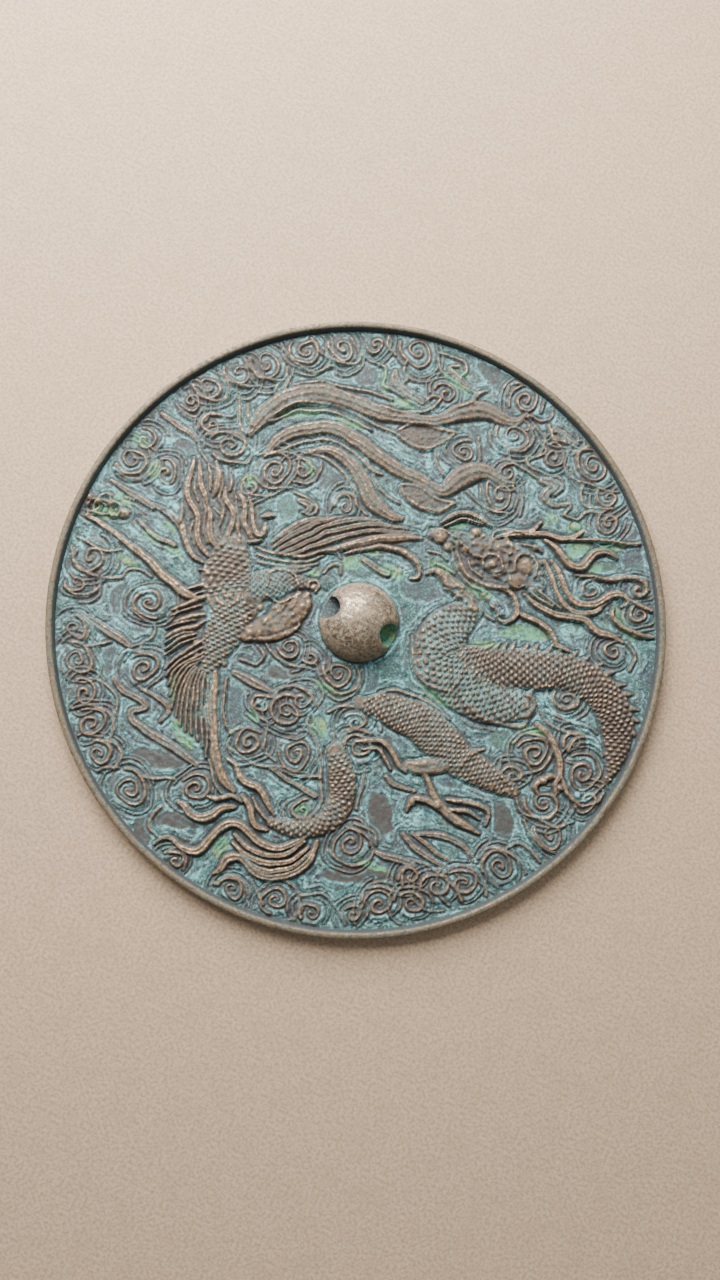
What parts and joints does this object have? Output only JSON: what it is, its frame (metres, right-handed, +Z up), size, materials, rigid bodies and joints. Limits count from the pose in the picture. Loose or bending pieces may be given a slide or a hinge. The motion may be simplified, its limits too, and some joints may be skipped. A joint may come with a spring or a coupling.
{
  "type": "ancient bronze mirror",
  "caption": "Round cast bronze mirror, back up, with a raised rim, a domed cord knob and dragon, phoenix and cloud scroll relief.",
  "frame": {"origin": "centre of the underside, the plain reflecting face that the mirror lies on", "axes": "+Z up out of the ornamented back, +X along the cord tunnel through the knob, +Y across it"},
  "size_m": [0.15, 0.15, 0.01],
  "materials": {
    "aged_bronze": "cast bronze with blue-green patina in the hollows and worn tan metal on the ridges, rim and knob"
  },
  "bodies": {
    "root": {"bronze_mirror": "aged_bronze"}
  },
  "joints": []
}
